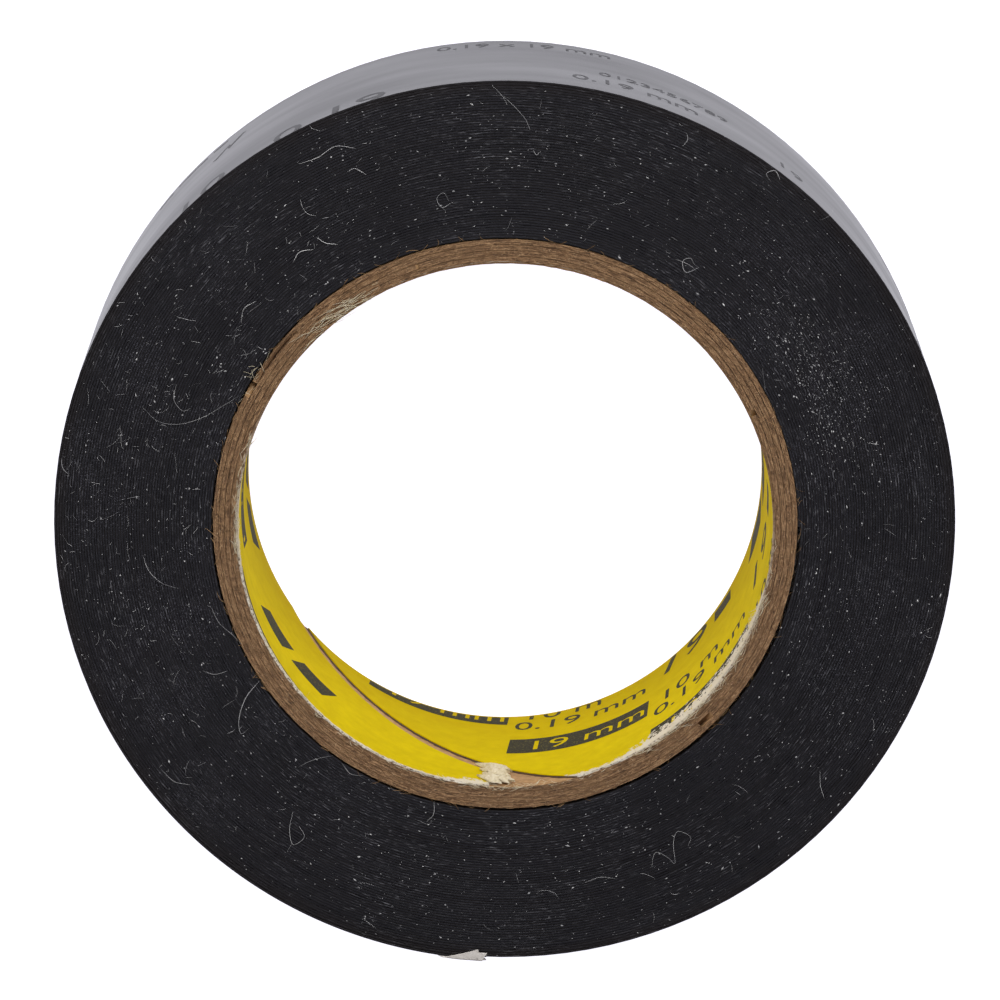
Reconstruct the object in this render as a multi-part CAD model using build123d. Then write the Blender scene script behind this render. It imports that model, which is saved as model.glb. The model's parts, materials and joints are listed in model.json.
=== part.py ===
"""Roll of vinyl electrical tape on a spiral-wound paperboard core, lying on its side.

Millimetres. The roll's axis is Z and the origin is on that axis, in the underside.
The tape is wound in a spiral of half-circle arcs that swap between two centres, so the
radius grows by one tape thickness in each lap. Angles are degrees,
counter-clockwise from +X seen from above, which is also the way the tape is wound.
"""
from build123d import *
from math import cos, degrees, radians, sin
import os

# ---------------------------------------------------------------- driving dimensions
tape_width = 19.0          # width of the tape, and so the length of the core
bore_radius = 19.05        # inside of the core, a 38.1 mm (1.5 in) hub
liner_thickness = 0.15     # printed paper that lines the bore
ply_thickness = 0.40       # one kraft board ply
film_thickness = 0.15      # PVC film
adhesive_thickness = 0.04  # rubber adhesive on the inside of the film
bonded_laps = 55           # inner laps, pressed into one block by the winding
loose_laps = 3             # outer laps, where film and adhesive are pieces of their own

# The free end of the tape: links that bend at their ends, then a stiff end link.
tail_start_angle = 206.0   # where the free tail leaves the coil
link_arc = 8.0
bending_links = 5
end_link_arc = 20.0        # the paper tab stiffens this one

# Butt seams of the core's strips. Each angle is where the seam crosses half height.
seam_slope = 47.7          # between a strip's edge and the roll's axis
liner_seam_angle = 249.8
liner_seam_gap = 1.2       # bare stripe between the edges of the liner
ply_seam_angles = (352.1, 75.0, 282.2, 117.8)    # from the bore outwards
ply_seam_gaps = (0.3, 0.15, 0.8, 0.8)

# Paper starter tab on the tape's end, cut with a saw-toothed blade.
tab_thickness = 0.12
tab_arc = 17.0             # how far it reaches back from the tape's end
tab_overhang = 2.2         # arc that it sticks out past the tape's end
tab_margin = 0.8           # bare film between it and the underside of the roll
tab_corner_rise = 0.6      # how far its lifted corner stands above the rim
tab_corner_length = 3.2    # along the tape, from where its edge leaves the rim to the corner
tooth_pitch = 0.8
tooth_depth = 0.45

# Clearances.
wrap_gap = 0.01            # between the core and the start of the tape
tail_gap = 0.02            # between the coil and the tail that lies on it
link_gap = 0.02            # between neighbouring links
tab_gap = 0.02             # between the film and the tab

# ---------------------------------------------------------------- worked out from these
tape_thickness = film_thickness + adhesive_thickness
core_radius = bore_radius + liner_thickness + len(ply_seam_angles) * ply_thickness
centre_step = tape_thickness / 2      # each half lap is this much larger than the last
upper_centre = -centre_step / 2       # X of the centre of every half lap with Y above 0
lower_centre = centre_step / 2        # X of the centre of every half lap with Y below 0
first_radius = core_radius + wrap_gap + centre_step / 2
bonded_end = 360 * bonded_laps + tail_start_angle      # winding angles, counted from the core
coil_end = bonded_end + 360 * loose_laps
tail_radius = first_radius + coil_end // 180 * centre_step + tail_gap
tape_end_angle = tail_start_angle + bending_links * link_arc + end_link_arc
ON_BASE = (Align.CENTER, Align.CENTER, Align.MIN)
UP = (0, 0, 1)


# ---------------------------------------------------------------- core
def seam_cutter(radius, wall, angle, gap):
    """A slanted slab that parts one side of a thin tube, as a butt seam does."""
    reach = radius + 4 * wall
    slab = Pos(reach / 2, 0, 0) * Box(reach, gap, 3 * tape_width)
    return Pos(0, 0, tape_width / 2) * Rot(0, 0, angle) * Rot(-seam_slope, 0, 0) * slab


def core_strip(inner_radius, wall, angle, gap):
    """One strip of the core, wound once round, with a slanted gap between its edges."""
    tube = Cylinder(inner_radius + wall, tape_width, align=ON_BASE)
    tube -= Cylinder(inner_radius, tape_width, align=ON_BASE)
    return tube - seam_cutter(inner_radius, wall, angle, gap)


# ---------------------------------------------------------------- coil
def spiral(offset, start, end):
    """Arcs of the tape's spiral between two winding angles, offset outwards from its inner face."""
    arcs = []
    angle = start
    while angle < end:
        half = int(angle // 180)
        stop = min(180 * (half + 1), end)
        centre = (lower_centre if half % 2 else upper_centre, 0)
        arcs.append(CenterArc(centre, first_radius + half * centre_step + offset, angle % 360, stop - angle))
        angle = stop
    return arcs


def closed_wire(lines):
    return Wire([edge for line in lines for edge in line.edges()])


def bonded_coil():
    """The inner laps, pressed into one block. It keeps the step at each end of their spiral."""
    outer = spiral(tape_thickness, bonded_end - 360, bonded_end)
    inner = spiral(0, 0, 360)
    outer.append(Line(outer[-1] @ 1, outer[0] @ 0))
    inner.append(Line(inner[-1] @ 1, inner[0] @ 0))
    return extrude(Face(closed_wire(outer), [closed_wire(inner)]), amount=tape_width, dir=UP)


def loose_layer(inner_offset, outer_offset):
    """One layer of the outer laps, which leave the block where its spiral ends."""
    inner = spiral(inner_offset, bonded_end, coil_end)
    outer = spiral(outer_offset, bonded_end, coil_end)
    ends = [Line(inner[0] @ 0, outer[0] @ 0), Line(inner[-1] @ 1, outer[-1] @ 1)]
    return extrude(Face(closed_wire(inner + outer + ends)), amount=tape_width, dir=UP)


# ---------------------------------------------------------------- tail
def on_tail(radius, angle):
    """A point on an arc about the centre of the half lap that the tail is in."""
    return (lower_centre + radius * cos(radians(angle)), radius * sin(radians(angle)))


def curved_plate(inner, outer, first, last, height):
    """A plate that follows the tail's arc, between two radial ends."""
    middle = (first + last) / 2
    sides = [
        ThreePointArc(*[on_tail(inner, angle) for angle in (first, middle, last)]),
        Line(on_tail(inner, last), on_tail(outer, last)),
        ThreePointArc(*[on_tail(outer, angle) for angle in (last, middle, first)]),
        Line(on_tail(outer, first), on_tail(inner, first)),
    ]
    return extrude(Face(closed_wire(sides)), amount=height, dir=UP)


def tail_layer(inner_offset, outer_offset, first, arc):
    """One layer of one link of the tail, a small gap clear of the link before it."""
    inner = tail_radius + inner_offset
    outer = tail_radius + outer_offset
    gap_arc = degrees(link_gap / tail_radius)
    return curved_plate(inner, outer, first + gap_arc, first + arc, tape_width)


def starter_tab():
    """The paper tab: a curved plate with a saw-toothed end and one corner above the rim."""
    inner = tail_radius + tape_thickness + tab_gap
    outer = inner + tab_thickness
    first = tape_end_angle - tab_arc
    last = tape_end_angle + tab_overhang
    top = tape_width + tab_corner_rise
    plate = Pos(0, 0, tab_margin) * curved_plate(inner, outer, first, last, top - tab_margin)

    # Both cuts are drawn flat on the end of the tab, with X along the tape and Y up.
    end_plane = Plane(
        origin=(*on_tail(outer, last), 0),
        x_dir=(-sin(radians(last)), cos(radians(last)), 0),
        z_dir=(cos(radians(last)), sin(radians(last)), 0),
    )
    teeth = []
    height = tab_margin
    while height < top:
        teeth += [(-tooth_depth, height), (0, height + tooth_pitch / 2)]
        height += tooth_pitch
    teeth.append((-tooth_depth, height))
    blade_cut = [(1, tab_margin - 1), (-tooth_depth, tab_margin - 1), *teeth, (1, height)]
    sloping_edge = [
        (-outer, tape_width), (-tab_corner_length, tape_width), (0, top), (1, top), (1, top + 1), (-outer, top + 1),
    ]
    for cut in (blade_cut, sloping_edge):
        plate -= extrude(end_plane * make_face(Polyline(*cut, close=True)), amount=outer, both=True)
    return plate


# ---------------------------------------------------------------- all the pieces
def all_pieces():
    """Every piece of the roll, by the name that it is kept under."""
    pieces = {"core_liner": core_strip(bore_radius, liner_thickness, liner_seam_angle, liner_seam_gap)}
    inner = bore_radius + liner_thickness
    for number, (angle, gap) in enumerate(zip(ply_seam_angles, ply_seam_gaps), start=1):
        pieces[f"core_ply_{number}"] = core_strip(inner, ply_thickness, angle, gap)
        inner += ply_thickness
    pieces["coil_inner_laps"] = bonded_coil()
    pieces["coil_outer_adhesive"] = loose_layer(0, adhesive_thickness)
    pieces["coil_outer_film"] = loose_layer(adhesive_thickness, tape_thickness)
    arcs = [link_arc] * bending_links + [end_link_arc]
    angle = tail_start_angle
    for number, arc in enumerate(arcs, start=1):
        pieces[f"tail_adhesive_{number}"] = tail_layer(0, adhesive_thickness, angle, arc)
        pieces[f"tail_film_{number}"] = tail_layer(adhesive_thickness, tape_thickness, angle, arc)
        angle += arc
    pieces["starter_tab"] = starter_tab()
    return pieces


os.makedirs("parts", exist_ok=True)
for name, piece in all_pieces().items():
    export_step(piece, f"parts/{name}.step")

print(f"core outside radius {core_radius:.3f}, roll outside radius {tail_radius + tape_thickness:.3f}")
for number in range(bending_links + 1):
    hinge = on_tail(tail_radius + tape_thickness, tail_start_angle + number * link_arc)
    print(f"hinge {number + 1} at {hinge[0]:.4f}, {hinge[1]:.4f}")
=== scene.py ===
"""A part-used roll of black vinyl tape on a spiral-wound paperboard core, lying on its side.

Metres, with the roll's axis on Z. Angles are degrees, counter-clockwise from +X seen from
above, which is the way the tape is wound. A winding angle counts on from the core.
"""
import json
import math
import random

import bmesh
import bpy
import numpy as np
from mathutils import Euler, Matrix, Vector, noise


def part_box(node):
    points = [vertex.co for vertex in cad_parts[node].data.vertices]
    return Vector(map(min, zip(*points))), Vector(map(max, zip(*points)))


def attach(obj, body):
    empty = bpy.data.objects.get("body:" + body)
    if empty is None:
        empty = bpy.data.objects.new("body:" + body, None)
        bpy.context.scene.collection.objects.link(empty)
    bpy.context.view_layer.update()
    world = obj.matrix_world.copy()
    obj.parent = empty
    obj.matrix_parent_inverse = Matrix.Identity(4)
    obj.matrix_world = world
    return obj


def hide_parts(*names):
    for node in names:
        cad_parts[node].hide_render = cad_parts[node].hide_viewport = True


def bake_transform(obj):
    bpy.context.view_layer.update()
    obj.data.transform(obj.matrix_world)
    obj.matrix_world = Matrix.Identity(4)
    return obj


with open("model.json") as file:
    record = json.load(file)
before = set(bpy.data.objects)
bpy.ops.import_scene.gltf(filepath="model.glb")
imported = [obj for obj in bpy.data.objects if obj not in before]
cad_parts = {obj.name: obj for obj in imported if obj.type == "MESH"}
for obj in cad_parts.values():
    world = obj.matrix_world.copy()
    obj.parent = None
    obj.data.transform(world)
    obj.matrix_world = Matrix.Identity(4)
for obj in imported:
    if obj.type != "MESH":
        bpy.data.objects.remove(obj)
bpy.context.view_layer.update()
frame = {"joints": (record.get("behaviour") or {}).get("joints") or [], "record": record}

mm = 0.001

# ---------------------------------------------------------------- sizes
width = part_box("core_liner")[1].z
bore_radius = frame["record"]["mounts"][0]["dims"]["r_mm"] * mm
liner_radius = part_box("core_liner")[1].x
ply_radii = [liner_radius] + [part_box(f"core_ply_{number}")[1].x for number in range(1, 5)]
core_radius = ply_radii[-1]

film = 0.15 * mm
adhesive = 0.04 * mm
lap = film + adhesive
wrap_gap = 0.01 * mm
tail_gap = 0.02 * mm
laps = 58
tail_start = 206.0
link_arc = 8.0
end_link_arc = 20.0
links = len(frame["joints"])
tail_end = tail_start + (links - 1) * link_arc + end_link_arc
first_radius = core_radius + wrap_gap + lap / 4


# ---------------------------------------------------------------- mesh making
def new_piece(name, verts, faces, materials, face_materials=None, sharp_angle=35):
    """A mesh object from arrays of points and faces, with its sharp edges marked."""
    mesh = bpy.data.meshes.new(name)
    mesh.from_pydata([tuple(v) for v in verts], [], [tuple(f) for f in faces])
    for material in materials:
        mesh.materials.append(material)
    if face_materials is not None:
        mesh.polygons.foreach_set("material_index", np.asarray(face_materials, np.int32))
    mesh.shade_smooth()
    mesh.set_sharp_from_angle(angle=math.radians(sharp_angle))
    piece = bpy.data.objects.new(name, mesh)
    bpy.context.scene.collection.objects.link(piece)
    return piece


def ring_faces(count, size, closed):
    """Quads between rings of points, and ladder-shaped caps on an open run's two ends."""
    step = np.arange(count if closed else count - 1)[:, None]
    side = np.arange(size)[None, :]
    here = step * size
    there = (step + 1) % count * size
    after = (side + 1) % size
    quads = np.stack([here + side, there + side, there + after, here + after], -1).reshape(-1, 4)
    if closed:
        return quads
    rung = np.arange(size // 2 - 1)
    start = np.stack([rung, rung + 1, size - 2 - rung, size - 1 - rung], -1)
    end = start[:, ::-1] + (count - 1) * size
    return np.concatenate([quads, start, end])


def facing_out(verts, faces):
    """The same faces, turned over if they enclose a negative volume."""
    a, b, c, d = (verts[faces[:, k]] for k in range(4))
    volume = (np.cross(b - a, c - a) * a).sum() + (np.cross(c - a, d - a) * a).sum()
    return faces if volume > 0 else faces[:, ::-1]


def loft(name, rings, materials, closed=False, side_materials=None, sharp_angle=35):
    """A closed solid through rings of points, each ring an array of places."""
    rings = np.asarray(rings)
    count, size = rings.shape[:2]
    verts = rings.reshape(-1, 3)
    faces = facing_out(verts, ring_faces(count, size, closed))
    indices = None
    if side_materials is not None:
        sides = count if closed else count - 1
        indices = np.concatenate([np.tile(side_materials, sides), np.zeros(len(faces) - sides * size)])
    return new_piece(name, verts, faces, materials, indices, sharp_angle)


def tubes(name, paths, radii, material, sides=4):
    """Thin closed tubes that taper to their ends, all in one mesh: one tube for each path."""
    verts = []
    faces = []
    first = 0
    for path, radius in zip(paths, radii):
        path = np.asarray(path, float)
        along = np.gradient(path, axis=0)
        along /= np.linalg.norm(along, axis=1)[:, None] + 1e-12
        across = np.cross(along, np.where(np.abs(along[:, 2:3]) > 0.9, (1.0, 0, 0), (0, 0, 1.0)))
        across /= np.linalg.norm(across, axis=1)[:, None] + 1e-12
        up = np.cross(across, along)
        part = np.linspace(0, 1, len(path))
        taper = np.minimum(1, 0.35 + 3 * np.minimum(part, part[::-1]))
        turn = np.arange(sides) * 2 * np.pi / sides
        ring = across[:, None] * np.cos(turn)[None, :, None] + up[:, None] * np.sin(turn)[None, :, None]
        tube = (path[:, None] + ring * (radius * taper)[:, None, None]).reshape(-1, 3)
        quads = facing_out(tube, ring_faces(len(path), sides, False))
        verts.append(tube)
        faces.append(quads + first)
        first += len(tube)
    return new_piece(name, np.concatenate(verts), np.concatenate(faces), [material], sharp_angle=80)


def place(piece, body, slot, *nodes):
    """Let a finished piece move with its body and stand for its CAD nodes."""
    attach(piece, body)
    if nodes:
        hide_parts(*nodes)
    return piece


def wander(points, size, seed):
    """Smooth noise between about -1 and 1 at each point, with features of the given size."""
    shift = Vector((seed * 17.3, seed * 5.1, seed * 9.7))
    return np.array([noise.noise(Vector(point) / size + shift) for point in points]) * 1.8


def polar(radius, angle, height):
    turn = np.radians(angle)
    return np.stack(np.broadcast_arrays(radius * np.cos(turn), radius * np.sin(turn), height), -1)


def wind(angle, offset):
    """X and Y on the tape's spiral at winding angles, offset outwards from its inner face."""
    half = np.floor(np.asarray(angle) / 180)
    centre = np.where(half % 2 == 1, lap / 4, -lap / 4)
    radius = first_radius + half * lap / 2 + offset
    return centre + radius * np.cos(np.radians(angle)), radius * np.sin(np.radians(angle))


# ---------------------------------------------------------------- materials
def linear(hex_colour, alpha=1.0):
    """An sRGB hex colour as the linear numbers that shaders take."""
    parts = [int(hex_colour[k:k + 2], 16) / 255 for k in (1, 3, 5)]
    return (*[p / 12.92 if p <= 0.04045 else ((p + 0.055) / 1.055) ** 2.4 for p in parts], alpha)


def add(tree, kind, *inputs, output=0, stops=(), **settings):
    """Add a node and return one of its outputs. Inputs come in the node's own order.

    A setting names a property or, failing that, an input. An input takes a socket, a hex colour
    or a plain value. Stops are the positions and hex colours of a colour ramp.
    """
    node = tree.nodes.new("ShaderNode" + kind)
    sockets = {socket.identifier: socket for socket in node.inputs}
    values = list(zip(node.inputs, inputs))
    for name, value in settings.items():
        if hasattr(node, name):
            setattr(node, name, value)
        else:
            values.append((sockets[name], value))
    for socket, value in values:
        if isinstance(value, bpy.types.NodeSocket):
            tree.links.new(value, socket)
        else:
            socket.default_value = linear(value) if isinstance(value, str) else value
    if stops:
        while len(node.color_ramp.elements) < len(stops):
            node.color_ramp.elements.new(0.5)
        for element, (position, colour) in zip(node.color_ramp.elements, stops):
            element.position = position
            element.color = linear(colour)
    return node.outputs[output]


def new_material(name, roughness, ior=1.5, **shader_settings):
    """An empty material with its shader. Returns the material, its node tree and the shader."""
    material = bpy.data.materials.new(name)
    material.use_nodes = True
    tree = material.node_tree
    shader = tree.nodes["Principled BSDF"]
    shader.inputs["Roughness"].default_value = roughness
    shader.inputs["IOR"].default_value = ior
    for key, value in shader_settings.items():
        shader.inputs[key.replace("_", " ")].default_value = value
    return material, tree, shader


def polar_place(tree):
    """Sockets for a surface point in object space: its place, radius, angle and height."""
    spot = add(tree, "TexCoord", output="Object")
    axes = add(tree, "SeparateXYZ", spot).node.outputs
    flat = add(tree, "VectorMath", spot, (1, 1, 0), operation="MULTIPLY")
    radius = add(tree, "VectorMath", flat, operation="LENGTH", output="Value")
    angle = add(tree, "Math", axes["Y"], axes["X"], operation="ARCTAN2")
    return spot, radius, angle, axes["Z"]


def streaks(tree, radius, angle, height, across, along, detail=2.0, rough=0.6):
    """Noise drawn out round the roll: across its radius and height, and along its angle, in metres."""
    arc = add(tree, "Math", angle, 26 * mm / along, operation="MULTIPLY")
    deep = add(tree, "Math", radius, 1 / across, operation="MULTIPLY")
    high = add(tree, "Math", height, 1 / across, operation="MULTIPLY")
    vector = add(tree, "CombineXYZ", arc, deep, high)
    return add(tree, "TexNoise", vector, Scale=1.0, Detail=detail, Roughness=rough)


def window(tree, angle, middle, half_width):
    """1 within an arc of the roll, in degrees, and 0 outside it, with soft ends."""
    turn = add(tree, "Math", angle, math.radians(middle), operation="SUBTRACT")
    facing = add(tree, "Math", turn, operation="COSINE")
    outer = math.cos(math.radians(half_width))
    inner = math.cos(math.radians(half_width * 0.55))
    return add(tree, "MapRange", facing, outer, inner)


def calendered_film():
    """Plasticised PVC rolled between calenders: black, with a satin skin and faint stretch bands."""
    material, tree, shader = new_material("calendered_pvc_film", 0.34, 1.53, Specular_IOR_Level=0.42)
    spot, radius, angle, height = polar_place(tree)
    bands = streaks(tree, radius, angle, height, 5 * mm, 16 * mm)
    pebble = add(tree, "TexNoise", spot, Scale=1 / (0.5 * mm), Detail=3.0, Roughness=0.55)
    colour = add(tree, "ValToRGB", bands, stops=[(0.3, "#131215"), (0.7, "#1b1a1d")])
    tree.links.new(colour, shader.inputs["Base Color"])
    shine = add(tree, "MapRange", bands, 0.3, 0.7, 0.32, 0.42)
    tree.links.new(shine, shader.inputs["Roughness"])
    relief = add(tree, "Bump", Height=pebble, Strength=1.0, Distance=0.006 * mm)
    tree.links.new(relief, shader.inputs["Normal"])
    return material


def slit_edge():
    """The film's cut edge, slit with a knife: near black, with drawn-out cutting lines and caught dust."""
    material, tree, shader = new_material("slit_pvc_edge", 0.55, 1.5, Specular_IOR_Level=0.3)
    spot, radius, angle, height = polar_place(tree)
    lines = streaks(tree, radius, angle, height, 0.09 * mm, 1.2 * mm, 3.0, 0.7)
    bands = streaks(tree, radius, angle, height, 1.1 * mm, 30 * mm)
    dashes = streaks(tree, radius, angle, height, 0.09 * mm, 0.9 * mm, 2.0, 0.75)
    base = add(tree, "ValToRGB", lines, stops=[(0.25, "#0f0e13"), (0.55, "#17161c"), (0.8, "#1f1e26")])
    paler = add(tree, "MapRange", bands, 0.35, 0.7, 0.0, 0.5)
    base = add(tree, "Mix", paler, A_Color=base, B_Color="#1d1c22", output=2, data_type="RGBA")
    # Dust lies in short dashes along the laps, more in some patches than in others.
    patches = add(tree, "TexNoise", spot, Scale=1 / (6 * mm), Detail=3.0, Roughness=0.55)
    dashes = add(tree, "MapRange", dashes, 0.58, 0.74)
    patches = add(tree, "MapRange", patches, 0.38, 0.62, 0.08, 0.8)
    caught = add(tree, "Math", dashes, patches, operation="MULTIPLY")
    base = add(tree, "Mix", caught, A_Color=base, B_Color="#77767c", output=2, data_type="RGBA")
    powder = add(tree, "TexNoise", spot, Scale=1 / (0.10 * mm), Detail=2.0, Roughness=0.8)
    clouds = add(tree, "TexNoise", spot, Scale=1 / (4.5 * mm), Detail=3.0, Roughness=0.55)
    powder = add(tree, "MapRange", powder, 0.56, 0.74)
    clouds = add(tree, "MapRange", clouds, 0.40, 0.66, 0.1, 0.7)
    haze = add(tree, "Math", powder, clouds, operation="MULTIPLY")
    # More powder has settled on two sides of the roll.
    left = window(tree, angle, 182, 60)
    right = window(tree, angle, 12, 50)
    sides = add(tree, "Math", left, right, operation="ADD")
    sides = add(tree, "MapRange", sides, 0, 1, 0.45, 1.5)
    haze = add(tree, "Math", haze, sides, operation="MULTIPLY")
    base = add(tree, "Mix", haze, A_Color=base, B_Color="#6f6e78", output=2, data_type="RGBA")
    # The outermost laps have a brown cast where fingers have worn them.
    worn = add(tree, "MapRange", radius, 31.0 * mm, 31.8 * mm, 0.0, 0.35)
    base = add(tree, "Mix", worn, A_Color=base, B_Color="#1c1411", output=2, data_type="RGBA")
    specks = add(tree, "TexVoronoi", spot, Scale=1 / (0.55 * mm), feature="F1").node.outputs
    chance = add(tree, "SeparateColor", specks["Color"])
    round_specks = add(tree, "MapRange", specks["Distance"], 0.07, 0.13, 1.0, 0.0)
    few = add(tree, "MapRange", chance, 0.8, 0.95)
    dust = add(tree, "Math", round_specks, few, operation="MULTIPLY")
    base = add(tree, "Mix", dust, A_Color=base, B_Color="#77757a", output=2, data_type="RGBA")
    tree.links.new(base, shader.inputs["Base Color"])
    shine = add(tree, "MapRange", lines, 0.2, 0.8, 0.48, 0.68)
    tree.links.new(shine, shader.inputs["Roughness"])
    relief = add(tree, "Bump", Height=lines, Strength=1.0, Distance=0.010 * mm)
    tree.links.new(relief, shader.inputs["Normal"])
    return material


def rubber_adhesive():
    """Pressure-sensitive rubber, calendered on the film: dark brown, tacky and glossy."""
    material, tree, shader = new_material("rubber_adhesive", 0.3, 1.52)
    spot = add(tree, "TexCoord", output="Object")
    lumps = add(tree, "TexNoise", spot, Scale=1 / (0.9 * mm), Detail=3.0, Roughness=0.55)
    base = add(tree, "ValToRGB", lumps, stops=[(0.3, "#0e0b0a"), (0.75, "#1f1916")])
    tree.links.new(base, shader.inputs["Base Color"])
    shine = add(tree, "MapRange", lumps, 0.3, 0.7, 0.2, 0.45)
    tree.links.new(shine, shader.inputs["Roughness"])
    relief = add(tree, "Bump", Height=lumps, Strength=1.0, Distance=0.03 * mm)
    tree.links.new(relief, shader.inputs["Normal"])
    return material


def kraft_board():
    """Recycled kraft board, sawn across its plies: brown, with fibres drawn out round the core."""
    material, tree, shader = new_material("sawn_kraft_board", 0.92, 1.47)
    spot, radius, angle, height = polar_place(tree)
    fibres = streaks(tree, radius, angle, height, 0.07 * mm, 1.5 * mm, 3.0, 0.75)
    clumps = streaks(tree, radius, angle, height, 0.35 * mm, 3.5 * mm, 3.0, 0.6)
    crumbs = add(tree, "TexNoise", spot, Scale=1 / (0.14 * mm), Detail=4.0, Roughness=0.7)
    base = add(tree, "ValToRGB", fibres, stops=[(0.36, "#35241a"), (0.49, "#77563a"), (0.62, "#b6916b")])
    clumps = add(tree, "MapRange", clumps, 0.35, 0.68, 0.0, 0.55)
    base = add(tree, "Mix", clumps, A_Color=base, B_Color="#8a6a4a", output=2, data_type="RGBA")
    light = add(tree, "MapRange", crumbs, 0.58, 0.70, 0.0, 0.7)
    base = add(tree, "Mix", light, A_Color=base, B_Color="#d0b08c", output=2, data_type="RGBA")
    dark = add(tree, "MapRange", crumbs, 0.40, 0.30, 0.0, 0.6)
    base = add(tree, "Mix", dark, A_Color=base, B_Color="#3b2718", output=2, data_type="RGBA")
    tree.links.new(base, shader.inputs["Base Color"])
    both = add(tree, "Math", fibres, crumbs, operation="ADD")
    relief = add(tree, "Bump", Height=both, Strength=1.0, Distance=0.08 * mm)
    tree.links.new(relief, shader.inputs["Normal"])
    return material


# Arcs where the liner's sawn edge is frayed: middle and half width in degrees, and reach down the bore in mm.
FRAYED = ((320, 27, 3.6), (172, 20, 3.0), (268, 12, 1.6), (290, 14, 0.8))


def scuffing(tree, spot, angle, height):
    """1 where the sawn edge has frayed down the bore and taken coat and print with it, 0 elsewhere."""
    fibre = add(tree, "TexNoise", spot, Scale=1 / (0.45 * mm), Detail=4.0, Roughness=0.7)
    rub = add(tree, "MapRange", fibre, 0.3, 0.7)
    reach = 0.0
    for middle, half_width, depth in FRAYED:
        arc = add(tree, "Math", window(tree, angle, middle, half_width), depth * mm, operation="MULTIPLY")
        reach = add(tree, "Math", reach, arc, operation="MAXIMUM")
    ragged = add(tree, "Math", reach, rub, operation="MULTIPLY")
    everywhere = add(tree, "MapRange", rub, 0, 1, 0.10 * mm, 0.42 * mm)
    edge = add(tree, "Math", everywhere, ragged, operation="ADD")
    from_top = add(tree, "Math", height, width, operation="SUBTRACT")
    below = add(tree, "Math", from_top, edge, operation="ADD")
    return add(tree, "MapRange", below, 0.0, 0.12 * mm)


def printed_liner():
    """Clay-coated yellow paper. At its sawn edge the coat is scuffed off to white fibre."""
    material, tree, shader = new_material("coated_yellow_paper", 0.85, 1.48, Specular_IOR_Level=0.02)
    spot, _, angle, height = polar_place(tree)
    mottle = add(tree, "TexNoise", spot, Scale=1 / (1.2 * mm), Detail=4.0, Roughness=0.6)
    felt = add(tree, "TexNoise", spot, Scale=1 / (0.12 * mm), Detail=3.0, Roughness=0.7)
    base = add(tree, "ValToRGB", mottle, stops=[(0.3, "#cbb300"), (0.7, "#d9c200")])
    fibres = add(tree, "MapRange", felt, 0.6, 0.8, 0.0, 0.35)
    base = add(tree, "Mix", fibres, A_Color=base, B_Color="#b59c00", output=2, data_type="RGBA")
    # Painted shade: the paper is painted darker deeper down the bore, where less light reaches.
    deep = add(tree, "MapRange", height, 13 * mm, 1 * mm, 0.0, 0.6)
    base = add(tree, "Mix", deep, A_Color=base, B_Color="#a08600", output=2, data_type="RGBA")
    scuffed = scuffing(tree, spot, angle, height)
    base = add(tree, "Mix", scuffed, A_Color=base, B_Color="#ddd3c2", output=2, data_type="RGBA")
    tree.links.new(base, shader.inputs["Base Color"])
    shine = add(tree, "MapRange", scuffed, 0.0, 1.0, 0.8, 0.95)
    tree.links.new(shine, shader.inputs["Roughness"])
    relief = add(tree, "Bump", Height=felt, Strength=1.0, Distance=0.012 * mm)
    tree.links.new(relief, shader.inputs["Normal"])
    return material


def fibrous_paper(name, roughness, size, rough, stops, depth, **shader_settings):
    """Plain paper or board: two colours of felted fibre of one size, with its relief."""
    material, tree, shader = new_material(name, roughness, 1.47, **shader_settings)
    spot = add(tree, "TexCoord", output="Object")
    felt = add(tree, "TexNoise", spot, Scale=1 / size, Detail=4.0, Roughness=rough)
    base = add(tree, "ValToRGB", felt, stops=stops)
    tree.links.new(base, shader.inputs["Base Color"])
    relief = add(tree, "Bump", Height=felt, Strength=1.0, Distance=depth)
    tree.links.new(relief, shader.inputs["Normal"])
    return material


def kraft_face():
    """The smooth face of a kraft strip, as it came off the paper machine: lighter than its sawn edge."""
    stops = [(0.3, "#94714d"), (0.7, "#c09a70")]
    return fibrous_paper("smooth_kraft_paper", 0.85, 0.5 * mm, 0.65, stops, 0.02 * mm, Specular_IOR_Level=0.2)


def torn_paper():
    """Bleached paper fibre, torn: white, soft and without gloss."""
    stops = [(0.3, "#c4b48e"), (0.65, "#e6dcc6")]
    return fibrous_paper("torn_white_paper", 0.95, 0.2 * mm, 0.65, stops, 0.05 * mm)


def sawn_paper():
    """The liner's sawn edge: white fibre where it has frayed into the bore, brown with glue elsewhere."""
    material, tree, shader = new_material("sawn_paper_edge", 0.95, 1.47, Specular_IOR_Level=0.1)
    spot, _, angle, _ = polar_place(tree)
    fibre = add(tree, "TexNoise", spot, Scale=1 / (0.25 * mm), Detail=4.0, Roughness=0.65)
    base = add(tree, "ValToRGB", fibre, stops=[(0.3, "#5b432e"), (0.7, "#937354")])
    frayed = add(tree, "MapRange", fibre, 0.36, 0.52)
    white = add(tree, "Math", window(tree, angle, 258, 108), frayed, operation="MULTIPLY")
    base = add(tree, "Mix", white, A_Color=base, B_Color="#e2d8c8", output=2, data_type="RGBA")
    tree.links.new(base, shader.inputs["Base Color"])
    relief = add(tree, "Bump", Height=fibre, Strength=1.0, Distance=0.05 * mm)
    tree.links.new(relief, shader.inputs["Normal"])
    return material


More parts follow.
